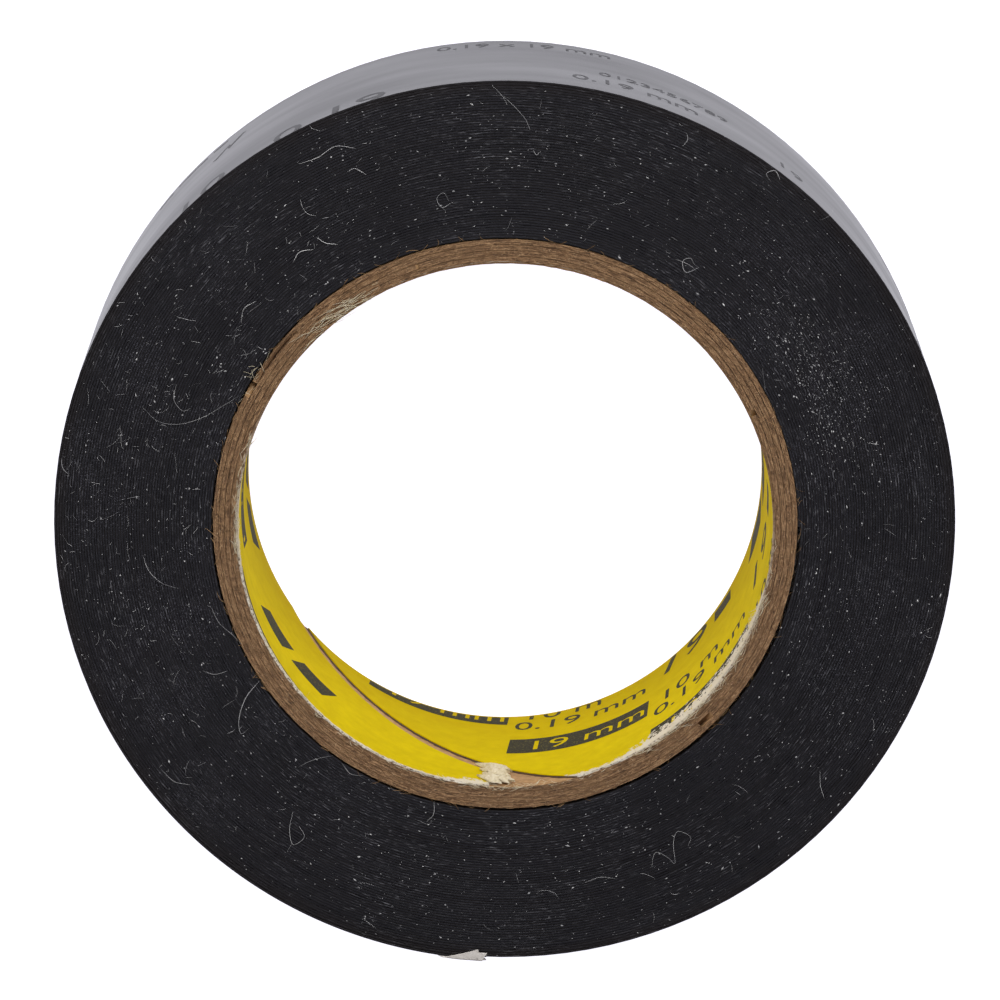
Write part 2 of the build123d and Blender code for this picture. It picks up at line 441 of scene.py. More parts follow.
def print_ink():
    """Flexographic ink on the liner: thin olive black that the paper shows through in specks."""
    material, tree, shader = new_material("flexographic_ink", 0.7, 1.5, Specular_IOR_Level=0.08)
    spot, _, angle, height = polar_place(tree)
    cover = add(tree, "TexNoise", spot, Scale=1 / (0.16 * mm), Detail=3.0, Roughness=0.7)
    base = add(tree, "ValToRGB", cover, stops=[(0.36, "#221f10"), (0.58, "#38341b"), (0.74, "#7d6c10")])
    scuffed = scuffing(tree, spot, angle, height)
    base = add(tree, "Mix", scuffed, A_Color=base, B_Color="#ddd3c2", output=2, data_type="RGBA")
    tree.links.new(base, shader.inputs["Base Color"])
    return material


def tab_paper():
    """Uncoated label paper: off-white, with a faint fibre grain and a grubby edge."""
    material, tree, shader = new_material("uncoated_tab_paper", 0.85, 1.47)
    spot = add(tree, "TexCoord", output="Object")
    felt = add(tree, "TexNoise", spot, Scale=1 / (0.35 * mm), Detail=4.0, Roughness=0.6)
    smudge = add(tree, "TexNoise", spot, Scale=1 / (2.5 * mm), Detail=3.0, Roughness=0.55)
    base = add(tree, "ValToRGB", felt, stops=[(0.3, "#d5cec8"), (0.7, "#e6e0da")])
    smudge = add(tree, "MapRange", smudge, 0.55, 0.75, 0.0, 0.4)
    base = add(tree, "Mix", smudge, A_Color=base, B_Color="#aaa39c", output=2, data_type="RGBA")
    tree.links.new(base, shader.inputs["Base Color"])
    relief = add(tree, "Bump", Height=felt, Strength=1.0, Distance=0.02 * mm)
    tree.links.new(relief, shader.inputs["Normal"])
    return material


def mottled(name, roughness, size, stops, **shader_settings):
    """A flat material that drifts between two colours over a real size in metres."""
    material, tree, shader = new_material(name, roughness, 1.5, **shader_settings)
    spot = add(tree, "TexCoord", output="Object")
    shade = add(tree, "TexNoise", spot, Scale=1 / size, Detail=3.0, Roughness=0.55)
    base = add(tree, "ValToRGB", shade, stops=stops)
    tree.links.new(base, shader.inputs["Base Color"])
    return material


def matte_mark():
    """Transfer ink on the film: as black as the film, but without its shine."""
    stops = [(0.3, "#0f0e11"), (0.7, "#1a191c")]
    return mottled("matte_transfer_ink", 0.5, 0.3 * mm, stops, Specular_IOR_Level=0.22)


def lint_fibre():
    """Textile and paper lint: pale grey hairs, thin enough to let the black through."""
    return mottled("grey_lint", 0.8, 2 * mm, [(0.3, "#8f8e92"), (0.7, "#dad8d8")])


def dark_seam_material():
    """A dark brown for the strip that lies in the liner's seam."""
    return mottled("dark_seam_brown", 0.6, 0.4 * mm, [(0.3, "#2e1c0c"), (0.7, "#55371a")])


FILM = calendered_film()
EDGE = slit_edge()
ADHESIVE = rubber_adhesive()
BOARD = kraft_board()
KRAFT = kraft_face()
SAWN = sawn_paper()
LINER = printed_liner()
INK = print_ink()
TORN = torn_paper()
TAB = tab_paper()
MARK = matte_mark()
LINT = lint_fibre()
SEAM_DARK = dark_seam_material()


# ---------------------------------------------------------------- tape
steps_per_lap = 128
edge_round = 0.02 * mm
FILM_SIDES = (1, 0, 1, 1, 1, 0, 1, 1)


def lap_rise(angle):
    """How far a lap's edge stands above its neighbours, which changes slowly along the tape."""
    turn = np.radians(angle)
    waves = ((0.31, 0.9), (0.77, 2.1), (1.43, 4.0), (2.9, 0.3), (5.3, 1.7))
    rise = sum(np.sin(rate * turn + start) for rate, start in waves) * 0.006 * mm
    # A few laps stand proud for a short way, and catch the light.
    for lap_number, middle, spread in ((50, 332, 13), (25, 336, 9), (53, 278, 6), (9, 100, 16)):
        rise = rise + 0.06 * mm * np.exp(-((angle - 360 * lap_number - middle) / spread) ** 2)
    return rise


def film_rings(angles, gap):
    """Sections of the film, with its cut edges rounded, at winding angles."""
    high = width - 0.02 * mm + lap_rise(angles)
    low = 0.03 * mm - 0.5 * lap_rise(angles + 90)
    low = np.maximum(low, 0)
    inner = adhesive + gap
    outer = lap + gap
    corners = (
        (inner + edge_round, low), (inner, low + edge_round),
        (inner, high - edge_round), (inner + edge_round, high),
        (outer - edge_round, high), (outer, high - edge_round),
        (outer, low + edge_round), (outer - edge_round, low),
    )
    return ring_stack(angles, corners)


def adhesive_rings(angles, gap):
    """Sections of the adhesive, which stops a little short of the film's cut edges."""
    skin = 0.003 * mm
    recess = 0.035 * mm + 0.010 * mm * np.sin(np.radians(angles) * 1.9)
    low = recess
    high = width - recess
    inner = gap + skin
    outer = gap + adhesive - skin
    corners = ((inner, low), (inner, high), (outer, high), (outer, low))
    return ring_stack(angles, corners)


def ring_stack(angles, corners):
    """Rings of points on the spiral, from each corner's offset and height."""
    points = []
    for offset, height in corners:
        x, y = wind(angles, offset)
        points.append(np.stack([x, y, np.broadcast_to(height, x.shape)], -1))
    return np.stack(points, 1)


def wound_coil():
    """The whole wound tape up to the tail: one strip of film and one of adhesive."""
    end = 360 * laps + tail_start - link_arc / 2
    angles = np.linspace(0, end, round(end / 360 * steps_per_lap))
    coil = loft("coil_film", film_rings(angles, 0), [FILM, EDGE], side_materials=FILM_SIDES)
    place(coil, "roll", "vinyl_film", "coil_inner_laps", "coil_outer_film")
    glue = loft("coil_adhesive", adhesive_rings(angles, 0), [ADHESIVE])
    place(glue, "roll", "rubber_adhesive", "coil_outer_adhesive")


def tail_pieces():
    """The free tail in six lengths, each starting half a link before its hinge."""
    base = 360 * laps
    for number in range(1, links + 1):
        hinge = tail_start + (number - 1) * link_arc
        first = hinge - link_arc / 2
        last = tail_end if number == links else hinge + link_arc / 2
        angles = np.linspace(first, last, round((last - first) * 3) + 1)
        # The tail starts on the coil and lifts by its small clearance within half a link.
        gap = tail_gap * np.clip((angles - tail_start + link_arc / 2) / (link_arc / 2), 0, 1)
        for kind, rings, sides, materials, slot in (
            ("film", film_rings, FILM_SIDES, [FILM, EDGE], "vinyl_film"),
            ("adhesive", adhesive_rings, None, [ADHESIVE], "rubber_adhesive"),
        ):
            bend = rings(base + angles, gap)
            piece = loft(f"tail_{kind}_{number}_bend", bend, materials, side_materials=sides)
            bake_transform(piece)
            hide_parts(f"tail_{kind}_{number}")


# ---------------------------------------------------------------- core
strip_twist = 66.4         # degrees that a strip's edge goes round from one face to the other
strip_pitch = math.radians(42)      # between a strip's edge and the side faces
rise_per_turn = width / math.radians(strip_twist)
liner_seam = 249.8
ply_seams = (352.1, 75.0, 282.2, 117.8)
ply_gaps = (0.3 * mm, 0.15 * mm, 0.8 * mm, 0.8 * mm)


def seam_angle(middle, height):
    """The angle of a slanting butt seam at a height, from where it crosses half height."""
    return middle + np.degrees((height - width / 2) / rise_per_turn)


def helical_strip(name, inner, outer, seam, gap, columns, rows, top, materials, torn=None, sharp_angle=35):
    """A strip of board or paper wound once round, with slanting edges and a top that follows a function."""
    half_gap = np.degrees(gap / 2 / inner / math.sin(strip_pitch))
    # The section runs up the outer wall, over the sawn top and down the bore side.
    steps = np.linspace(0, 1, rows)
    levels = np.concatenate([steps, [1, 1], steps[::-1]])
    on_top = [outer * 0.65 + inner * 0.35, outer * 0.35 + inner * 0.65]
    radii = np.concatenate([np.full(rows, outer), on_top, np.full(rows, inner)])
    part = np.linspace(0, 1, columns)[:, None]
    height = levels[None, :] * width
    low = seam_angle(seam, height) + half_gap
    high = seam_angle(seam, height) + 360 - half_gap
    if torn is not None:
        high = np.minimum(high, torn(height))
    angle = low + part * (high - low)
    height = top(radii[None, :], angle, height)
    sides = np.zeros(len(levels))
    sides[[rows - 1, rows, rows + 1, -1]] = len(materials) - 1
    return loft(name, polar(radii[None, :], angle, height), materials, False, sides, sharp_angle)


split_middle = 142.5
split_radius = 20.42 * mm
torn_below = 14.2 * mm
torn_tip = 267.2


def sawn_top(radius, angle, height):
    """Push the top of a ply up and down by its coarse fibre, and leave its walls alone."""
    places = polar(radius, angle, height).reshape(-1, 3) * (1, 1, 0)
    coarse = wander(places, 0.9 * mm, 3).reshape(angle.shape)
    fine = wander(places, 0.28 * mm, 8).reshape(angle.shape)
    on_top = np.clip((height - (width - 0.2 * mm)) / (0.2 * mm), 0, 1)
    # The two outer plies have split apart for a short way before a seam.
    near_split = np.clip(1 - np.abs(angle % 360 - split_middle) / 6.5, 0, 1) ** 0.5
    split = near_split * np.exp(-((radius - split_radius) / (0.14 * mm)) ** 2)
    return height + on_top * (0.035 * mm * coarse + 0.04 * mm * fine - 0.03 * mm - 0.4 * mm * split)


def sawn_paper_edge(radius, angle, height):
    """Push the liner's top edge up and down where it is frayed."""
    places = polar(radius, angle, height).reshape(-1, 3) * (1, 1, 0)
    ragged = wander(places, 0.5 * mm, 5).reshape(angle.shape)
    on_top = np.clip((height - (width - 0.5 * mm)) / (0.5 * mm), 0, 1)
    return height + on_top * (0.07 * mm * ragged - 0.02 * mm)


def torn_corner(height):
    """The last angle of the liner at each height: the tip of its strip has been torn away."""
    along = np.clip((height - torn_below) / (4.8 * mm), 0, 1)
    ragged = 0.7 * np.sin(along * 21) + 0.4 * np.sin(along * 47 + 1)
    return 360 + np.where(height > torn_below, torn_tip - 0.8 * along + ragged * 0.5, 400)


def core():
    """Four plies of board and the printed liner, each a helical strip."""
    for number, (seam, gap) in enumerate(zip(ply_seams, ply_gaps), start=1):
        inner = ply_radii[number - 1] + 0.018 * mm
        outer = ply_radii[number] - 0.018 * mm
        ply = helical_strip(f"board_ply_{number}", inner, outer, seam, gap, 720, 14,
                            sawn_top, [KRAFT, BOARD], sharp_angle=60)
        place(ply, "roll", "kraft_board", f"core_ply_{number}")
    liner = helical_strip("liner", bore_radius, liner_radius - 0.003 * mm, liner_seam, 1.35 * mm, 900, 40,
                          sawn_paper_edge, [LINER, SAWN], torn=torn_corner, sharp_angle=60)
    place(liner, "roll", "liner_paper", "core_liner")

    # A dark strip runs along the edge of the liner, in the seam.
    heights = np.linspace(0.1 * mm, width - 0.1 * mm, 90)
    edge = np.degrees(0.67 * mm / bore_radius / math.sin(strip_pitch))
    spread = 0.24 + 0.06 * np.sin(heights / mm * 5) + 0.05 * np.sin(heights / mm * 13)
    ragged = np.degrees(spread * mm / bore_radius)
    near = seam_angle(liner_seam, heights) + edge
    corners = [
        polar(bore_radius + 0.06 * mm, near + 0.1, heights),
        polar(liner_radius, near + 0.1, heights),
        polar(liner_radius, near - ragged * 1.1, heights),
        polar(liner_radius - 0.02 * mm, near - ragged, heights),
    ]
    place(loft("dark_seam_line", np.stack(corners, 1), [SEAM_DARK]), "roll", "kraft_board")


# ---------------------------------------------------------------- flat printed shapes
def lettering(text, size, bold=0.0):
    """The outlines of built-in lettering in mm: one list of X and Y for each closed line."""
    data = bpy.data.curves.new("lettering", "FONT")
    data.body = text
    data.size = size
    data.offset = bold
    data.fill_mode = "NONE"
    data.resolution_u = 3
    thing = bpy.data.objects.new("lettering", data)
    bpy.context.scene.collection.objects.link(thing)
    mesh = bpy.data.meshes.new_from_object(thing.evaluated_get(bpy.context.evaluated_depsgraph_get()))
    bpy.data.objects.remove(thing)
    after = {edge.vertices[0]: edge.vertices[1] for edge in mesh.edges}
    if len(after) < len(mesh.vertices):
        after = {}
        for edge in mesh.edges:
            low, high = sorted(edge.vertices)
            after[low if high == low + 1 else high] = high if high == low + 1 else low
    lines = []
    left = set(after)
    while left:
        here = min(left)
        line = []
        while here in left:
            left.discard(here)
            line.append(tuple(mesh.vertices[here].co[:2]))
            here = after[here]
        lines.append(line)
    return lines


def moved(lines, x, y, lean=0.0):
    """Outlines moved by X and Y, after leaning their tops to the right."""
    return [[(px + py * lean + x, py + y) for px, py in line] for line in lines]


def box_line(x, y, length, height, lean=0.0):
    """The outline of a box whose top is moved to the right by its lean."""
    over = height * lean
    return [(x, y), (x + length, y), (x + length + over, y + height), (x + over, y + height)]


def stroke_line(points, thickness):
    """The outline of a bent line of even thickness."""
    points = [Vector(point) for point in points]
    left = []
    right = []
    for k, point in enumerate(points):
        before = (point - points[k - 1]).normalized() if k else (points[1] - point).normalized()
        after = (points[k + 1] - point).normalized() if k < len(points) - 1 else before
        across = Vector((-before.y - after.y, before.x + after.x))
        across *= thickness / across.length_squared
        left.append(tuple(point + across))
        right.append(tuple(point - across))
    return left + right[::-1]


def cut(shape, point, normal):
    """Take away what lies beyond a line, and close the cut."""
    everything = shape.verts[:] + shape.edges[:] + shape.faces[:]
    if not everything:
        return
    result = bmesh.ops.bisect_plane(
        shape, geom=everything, plane_co=point, plane_no=normal, clear_outer=True, dist=1e-5)
    edges = [item for item in result["geom_cut"] if isinstance(item, bmesh.types.BMEdge)]
    if edges:
        bmesh.ops.holes_fill(shape, edges=edges, sides=0)


def ink_shape(lines, slope=0.0, thickness=0.010, pitch=0.4):
    """A thin flat solid inside outlines in mm, turned by a slope and scored into narrow strips."""
    data = bpy.data.curves.new("ink", "CURVE")
    data.dimensions = "2D"
    data.fill_mode = "BOTH"
    data.extrude = thickness / 2
    for line in lines:
        spline = data.splines.new("POLY")
        spline.points.add(len(line) - 1)
        for point, (x, y) in zip(spline.points, line):
            point.co = (x, y, 0, 1)
        spline.use_cyclic_u = True
    thing = bpy.data.objects.new("ink", data)
    bpy.context.scene.collection.objects.link(thing)
    mesh = bpy.data.meshes.new_from_object(thing.evaluated_get(bpy.context.evaluated_depsgraph_get()))
    bpy.data.objects.remove(thing)
    shape = bmesh.new()
    shape.from_mesh(mesh)
    bmesh.ops.remove_doubles(shape, verts=shape.verts, dist=1e-4)
    bmesh.ops.rotate(shape, verts=shape.verts, matrix=Euler((0, 0, -slope)).to_matrix())
    xs = [vert.co.x for vert in shape.verts]
    for x in np.arange(min(xs) + pitch, max(xs), pitch):
        everything = shape.verts[:] + shape.edges[:] + shape.faces[:]
        bmesh.ops.bisect_plane(shape, geom=everything, plane_co=(x, 0, 0), plane_no=(1, 0, 0), dist=1e-5)
    return shape


def collect(shapes, cuts):
    """Copies of flat shapes at their places, cut off at the given lines: one list of points and faces."""
    verts = []
    faces = []
    for shape, x, y in shapes:
        copy = shape.copy()
        bmesh.ops.translate(copy, verts=copy.verts, vec=(x, y, 0))
        for point, normal in cuts:
            beyond = [(vert.co - Vector(point)).dot(Vector(normal)) for vert in copy.verts]
            if beyond and max(beyond) > 0:
                cut(copy, point, normal)
        bmesh.ops.recalc_face_normals(copy, faces=copy.faces)
        copy.verts.index_update()
        first = len(verts)
        verts += [tuple(vert.co) for vert in copy.verts]
        faces += [[first + vert.index for vert in face.verts] for face in copy.faces]
        copy.free()
    return np.array(verts), faces


print_start = 260          # the angle on the bore where the print's own X is zero
print_end = 62             # as far as the print reaches along the bore, in mm


def liner_print():
    """Rows of generic print on the liner: size marks, a plain square and a pair of bold slanted bars."""
    slope = 0.077
    label = lettering("19 mm", 3.4, 0.09)
    block = [box_line(0, 0, 10.9, 3.8)] + moved(label, 1.2, 0.85)
    short_line = lettering("10 m", 3.1, 0.13)
    long_line = lettering("0.19 mm", 3.0, 0.13)
    number = moved(lettering("19", 5.2, 0.26), 0, 0, 0.2)
    square = [box_line(0, 0.2, 2.2, 2.2)]
    bars = [box_line(0, 0.5, 3.4, 3.2, 0.35), box_line(4.6, 0.5, 3.4, 3.2, 0.35)]
    row = [
        (ink_shape(block, slope), 0, 0),
        (ink_shape(short_line, slope), 11.9, 1.3),
        (ink_shape(long_line, slope), 11.3, -1.5),
        (ink_shape(number, slope), 22.4, 0),
        (ink_shape(square, slope), 28.9, 0.6),
        (ink_shape(bars, slope), 34.2, -0.4),
    ]
    row_length = 46.0
    shapes = []
    for level in (-1, 0, 1, 2):
        for turn in (-1, 0, 1, 2):
            start = 3.4 + 10.8 * level + row_length * turn
            bottom = 10.4 + 8.9 * level + slope * row_length * turn
            for shape, x, y in row:
                reach = start + x
                if (-9 if level < 0 else 3) < reach < print_end:
                    shapes.append((shape, reach, -(bottom + slope * x) + y))
    # The strip's far edge meets its start out of step, so the rows beyond the seam have their own level.
    far_shapes = []
    for level in (-1, 0, 1):
        for start, kind in ((-26.6, 4), (-19.4, 5), (-34.6, 0), (-47.0, 5), (-60.0, 0)):
            bottom = 14.0 + 8.9 * level + slope * (start + 19.2)
            far_shapes.append((row[kind][0], start + 10.8 * level, -bottom))
    lean = strip_twist / 19 * math.radians(1) * bore_radius / mm
    seam_x = math.radians(liner_seam - print_start) * bore_radius / mm
    seam_normal = Vector((1, lean, 0)).normalized()
    margin = 0.75
    top = -0.25
    bottom = -width / mm + 0.2
    far = math.radians(360) * bore_radius / mm
    seam_point = Vector((seam_x, -width / 2 / mm, 0))
    after = seam_point + seam_normal * margin
    before = seam_point - seam_normal * margin
    border = [((0, top, 0), (0, 1, 0)), ((0, bottom, 0), (0, -1, 0))]
    near_end = ((print_end, 0, 0), (1, 0, 0))
    far_end = ((print_end - far, 0, 0), (-1, 0, 0))
    verts, faces = collect(shapes, border + [(after, -seam_normal), near_end])
    more_verts, more_faces = collect(far_shapes, border + [(before, seam_normal), far_end])
    faces += [[index + len(verts) for index in face] for face in more_faces]
    verts = np.concatenate([verts, more_verts])
    angle = print_start + np.degrees(verts[:, 0] * mm / bore_radius)
    radius = bore_radius - 0.009 * mm - verts[:, 2] * mm
    points = polar(radius, angle, -verts[:, 1] * mm)
    place(new_piece("liner_print", points, faces, [INK], sharp_angle=30), "roll", "liner_paper")


def film_marks():
    """Faint size marks along the back of the tape, which only their missing shine shows."""
    rows = [
        (lettering("0.19 x 19 mm", 2.3), -5.0, 2.9),
        (lettering("0123456789", 2.0), 6.7, 11.7),
        (lettering("0.19 mm", 2.7), 4.7, 15.3),
        (lettering("19", 2.7), 20.5, 15.3),
        (lettering("0.19", 5.2, -0.06), -17.2, 19.7),
        (lettering("10", 5.2, -0.06), -26.2, 19.7),
        ([stroke_line([(0, 0.4), (1.2, 2.2), (1.4, 1.4), (2.6, 3.6)], 0.4)], -22.8, 7.0),
        ([box_line(0, 0, 1.6, 0.4), box_line(2.2, 0, 3.0, 0.4), box_line(5.8, 0, 1.4, 0.4)], -29.0, 1.6),
    ]
    rows = [(ink_shape(lines, 0, 0.006, 0.8), x, z) for lines, x, z in rows]
    shapes = [(shape, x + shift, -z) for shift in (-62, 0, 62) for shape, x, z in rows]
    border = [((0, -0.25, 0), (0, 1, 0)), ((0, -width / mm + 0.15, 0), (0, -1, 0))]
    verts, faces = collect(shapes, border)
    # Read along the falling angle, with zero at the far side of the roll.
    angle = 90 - np.degrees(verts[:, 0] / 32)
    turn = np.where(angle < tail_start - 10, laps, laps - 1)
    x, y = wind(360 * turn + angle, lap + 0.003 * mm + verts[:, 2] * mm)
    points = np.stack([x, y, -verts[:, 1] * mm], -1)
    place(new_piece("film_marks", points, faces, [MARK], sharp_angle=30), "roll", "vinyl_film")


# ---------------------------------------------------------------- starter tab
def starter_tab():
    """The paper tab over the tape's end, sheared with a saw-toothed blade. Its corner folds over the rim."""
    thickness = 0.10 * mm
    roll_radius = 32 * mm
    inner = np.hypot(*wind(360 * laps + tail_end, lap)) + tail_gap + 0.01 * mm
    first = tail_end - 17.0
    last = tail_end + 1.6
    low = 0.8 * mm
    rim = width + 0.02 * mm
    columns = 160
    rows = 150
    along = np.linspace(0, 1, columns)[None, :]
    up = 1 - np.linspace(1, 0, rows)[:, None] ** 2.2
    from_end = (1 - along) * math.radians(last - first) * roll_radius
    # The folded part widens towards the end, then steps down where the blade's last tooth cut it.
    corner = 0.86 * mm * np.clip((3.2 * mm - from_end) / (2.5 * mm), 0, 1) ** 1.1
    corner = np.where(from_end < 0.64 * mm, 0.62 * mm, corner)
    corner = corner - 1.0 * mm * np.clip((from_end - 3.2 * mm) / (0.8 * mm), 0, 1)
    height = low + up * (rim + corner - low)
    # Saw teeth: each runs out slowly and falls back at once.
    bite = 0.43 * mm * (np.maximum(rim + 0.62 * mm - height, 0) / (0.8 * mm) % 1)
    angle = first + along * (last - first) - np.degrees(bite / roll_radius) * along ** 30
    # Beyond the rim the paper bends inwards over the face.
    bend = 0.07 * mm
    fold = 1.42
    over = np.maximum(height - rim, 0)
    turn = np.minimum(over / bend, fold)
    flat = np.maximum(over - fold * bend, 0)
    radius = inner - bend * (1 - np.cos(turn)) - flat * math.sin(fold)
    level = np.minimum(height, rim) + bend * np.sin(turn) + flat * math.cos(fold)
    wave = 0.012 * mm * np.sin(along * 23 + up * 5) * np.clip(along * 3 - 1, 0, 1)
    radius = radius + np.abs(wave) * np.cos(turn)
    front = polar(radius + thickness * np.cos(turn), angle, level + thickness * np.sin(turn))
    back = polar(radius, angle, level)
    verts = np.concatenate([front.reshape(-1, 3), back.reshape(-1, 3)])
    tab = new_piece("paper_tab", verts, sheet_faces(rows, columns), [TAB], sharp_angle=50)
    place(tab, f"tail_{links}", "tab_paper", "starter_tab")


def sheet_faces(rows, columns):
    """Faces of a closed thin sheet whose front grid of points is followed by its back grid."""
    row, column = np.meshgrid(np.arange(rows - 1), np.arange(columns - 1), indexing="ij")
    corner = (row * columns + column).ravel()
    front = np.stack([corner, corner + 1, corner + columns + 1, corner + columns], -1)
    back = front[:, ::-1] + rows * columns
    rim = [*range(columns), *range(2 * columns - 1, rows * columns, columns),
           *range(rows * columns - 2, (rows - 1) * columns - 1, -1),
           *range((rows - 2) * columns, 0, -columns)]
    rim = np.array(rim)
    after = np.roll(rim, -1)
    wall = np.stack([after, rim, rim + rows * columns, after + rows * columns], -1)
    return np.concatenate([front, back, wall])


# ---------------------------------------------------------------- frayed paper, lint and dust
def smooth_path(points, step):
    """A smooth line through control points, with points about a step apart."""
    points = np.asarray(points, float)
    ends = np.concatenate([[2 * points[0] - points[1]], points, [2 * points[-1] - points[-2]]])
    path = []
    for k in range(len(points) - 1):
        p0, p1, p2, p3 = ends[k:k + 4]
        count = max(2, int(np.linalg.norm((p2 - p1)) / step))
        t = np.linspace(0, 1, count, endpoint=False)[:, None]
        path.append(0.5 * (2 * p1 + (p2 - p0) * t + (2 * p0 - 5 * p1 + 4 * p2 - p3) * t ** 2
                           + (3 * p1 - p0 - 3 * p2 + p3) * t ** 3))
    path.append(points[-1:])
    return np.concatenate(path)


def strand(rng, angle, radius, heading, length, height, bend=1.0, lift=0.1 * mm):
    """A short loose fibre that starts at a place, heads off at an angle from the tangent, and curls."""
    count = max(5, int(length / (0.14 * mm)))
    turn = math.radians(angle + 90 + heading)
    curl = rng.gauss(0, bend) / count
    x, y = radius * math.cos(math.radians(angle)), radius * math.sin(math.radians(angle))
    hump = rng.uniform(0.3, 1) * lift
    path = []
    for k in range(count):
        path.append((x, y, height + hump * math.sin(math.pi * k / (count - 1)) ** 2))
        x += math.cos(turn) * length / count
        y += math.sin(turn) * length / count
        turn += curl + rng.gauss(0, 0.10 * bend)
    return path


def frayed_paper():
    """White fibre pulled up along the liner's sawn edge, and brown fibre on the board."""
    rng = random.Random(4)
    white = []
    for first, last, count, longest in (
        (298, 345, 190, 1.3), (160, 187, 90, 1.2), (262, 276, 50, 1.2), (345, 356, 12, 0.8),
        (225, 262, 36, 0.8), (276, 294, 20, 0.7), (187, 225, 20, 0.7),
    ):
        for _ in range(count):
            angle = rng.uniform(first, last)
            radius = rng.uniform(bore_radius - 0.02 * mm, liner_radius + 0.12 * mm)
            heading = rng.gauss(0, 15) + rng.choice((0, 180))
            length = rng.uniform(0.4, longest) * mm
            lowest = 0.25 if radius < bore_radius + 0.05 * mm else 0.0
            height = width - rng.uniform(-0.02, lowest) * mm
            white.append(strand(rng, angle, radius, heading, length, height, 0.5, 0.18 * mm))
    for _ in range(75):
        angle = rng.gauss(126, 4.5)
        radius = rng.uniform(19.08, 19.9) * mm
        heading = rng.gauss(-8, 9) + rng.choice((0, 180))
        length = rng.uniform(0.5, 2.0) * mm
        white.append(strand(rng, angle, radius, heading, length, width + 0.02 * mm, 0.3, 0.15 * mm))
    for _ in range(16):
        angle = rng.gauss(149, 3)
        radius = rng.uniform(20.4, 21.2) * mm
        heading = rng.uniform(0, 360)
        length = rng.uniform(0.3, 1.3) * mm
        white.append(strand(rng, angle, radius, heading, length, width + 0.02 * mm, 0.5, 0.12 * mm))
    piece = tubes("frayed_white_fibre", white, [rng.uniform(0.008, 0.016) * mm for _ in white], TORN)
    place(piece, "roll", "liner_paper")

    brown = []
    for _ in range(520):
        angle = rng.uniform(0, 360)
        radius = rng.choice((rng.uniform(liner_radius, core_radius), rng.gauss(20.75, 0.06) * mm))
        heading = rng.gauss(0, 28) + rng.choice((0, 180))
        length = rng.uniform(0.25, 1.1) * mm
        brown.append(strand(rng, angle, radius, heading, length, width - 0.01 * mm, 0.6, 0.07 * mm))
    piece = tubes("board_fibre", brown, [rng.uniform(0.007, 0.014) * mm for _ in brown], KRAFT, 3)
    place(piece, "roll", "kraft_board")


def torn_flap():
    """The torn tip of the liner: a crumpled scrap of its white paper that still hangs by its fibres."""
    rows, columns = 26, 16
    up = np.linspace(0, 1, rows)[:, None]
    across = np.linspace(0, 1, columns)[None, :]
    rim = np.minimum(np.minimum(up, 1 - up) * 5, np.minimum(across, 1 - across) * 4).clip(0, 1)
    flat = np.stack(np.broadcast_arrays(across * 1.7 * mm, up * 4.2 * mm, 0.0), -1).reshape(-1, 3)
    crumple = wander(flat, 0.8 * mm, 12).reshape(rows, columns)
    ragged = wander(flat, 0.35 * mm, 21).reshape(rows, columns)
    angle = 266.2 + np.degrees((across * 1.7 + 0.55 * ragged * (1 - rim) - 0.3 * (1 - up)) * mm / bore_radius)
    height = (14.3 + up * 4.1 + np.minimum(0.6 * ragged * (1 - rim), 0.5)) * mm
    radius = bore_radius - (0.10 + 0.30 * rim + 0.16 * crumple * rim) * mm
    front = polar(radius - 0.05 * mm, angle, height)
    back = polar(radius + 0.05 * mm, angle, height)
    verts = np.concatenate([front.reshape(-1, 3), back.reshape(-1, 3)])
    flap = new_piece("torn_flap", verts, sheet_faces(rows, columns), [TORN], sharp_angle=70)
    place(flap, "roll", "liner_paper")


